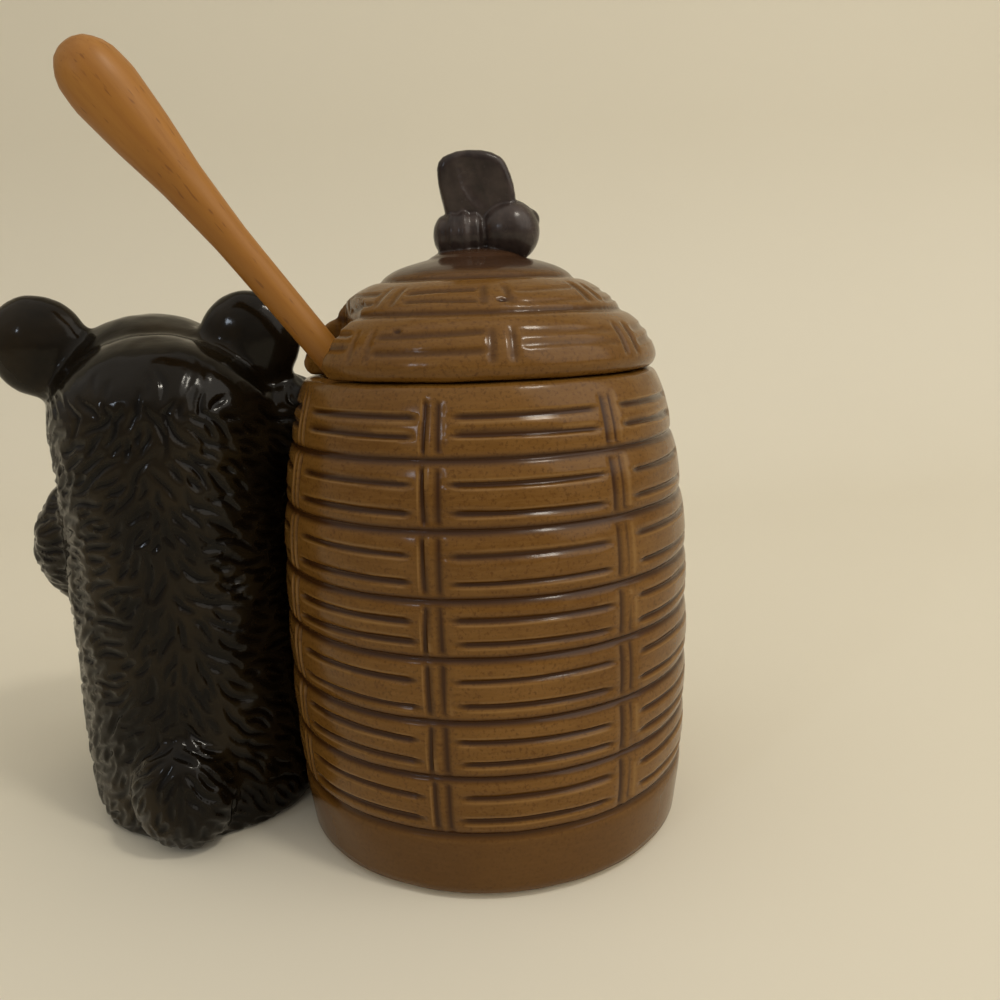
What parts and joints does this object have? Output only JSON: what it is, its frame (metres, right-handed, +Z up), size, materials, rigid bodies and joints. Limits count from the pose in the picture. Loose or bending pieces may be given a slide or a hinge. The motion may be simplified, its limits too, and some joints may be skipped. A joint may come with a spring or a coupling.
{
  "type": "honey pot",
  "caption": "Ceramic honey pot shaped as a woven bee hive with a seated bear against its side, a notched lift-off lid with a bee knob, and a turned wooden honey dipper.",
  "frame": {"origin": "centre of the hive's flat foot, on the surface that the pot stands on", "axes": "+Z up along the hive's axis, the bear sits on the -X side and faces +Y, so +X points away from the bear"},
  "size_m": [0.1491, 0.0929, 0.1593],
  "materials": {
    "amber_glaze": "glossy translucent amber-brown glaze, darker where it pools in the grooves",
    "black_glaze": "glossy black-brown glaze over carved fur",
    "bee_glaze": "glossy dark brown glaze, greyish on the wings",
    "beech_wood": "smooth turned wood, lightly oiled"
  },
  "bodies": {
    "pot": {"hive_pot": "amber_glaze", "bear_torso": "black_glaze", "bear_head": "black_glaze", "bear_ear_right": "black_glaze", "bear_ear_left": "black_glaze", "bear_muzzle": "black_glaze", "bear_nose": "black_glaze", "bear_eye_right": "black_glaze", "bear_eye_left": "black_glaze", "bear_arm_right": "black_glaze", "bear_arm_left": "black_glaze", "bear_leg_right": "black_glaze", "bear_leg_left": "black_glaze", "bear_foot_right": "black_glaze", "bear_foot_left": "black_glaze", "bear_tail": "black_glaze"},
    "lid": {"lid": "amber_glaze", "bee_abdomen": "bee_glaze", "bee_head": "bee_glaze", "bee_wing_back": "bee_glaze", "bee_wing_front": "bee_glaze"},
    "dipper": {"dipper": "beech_wood"}
  },
  "joints": [
    {"name": "lid_lift", "type": "slide", "parent": "pot", "child": "lid", "axis": [0, 0, 1], "range_m": [0, 0.07]},
    {"name": "dipper_draw", "type": "slide", "parent": "pot", "child": "dipper", "axis": [-0.5758, -0.1651, 0.8007], "range_m": [0, 0.06]}
  ]
}
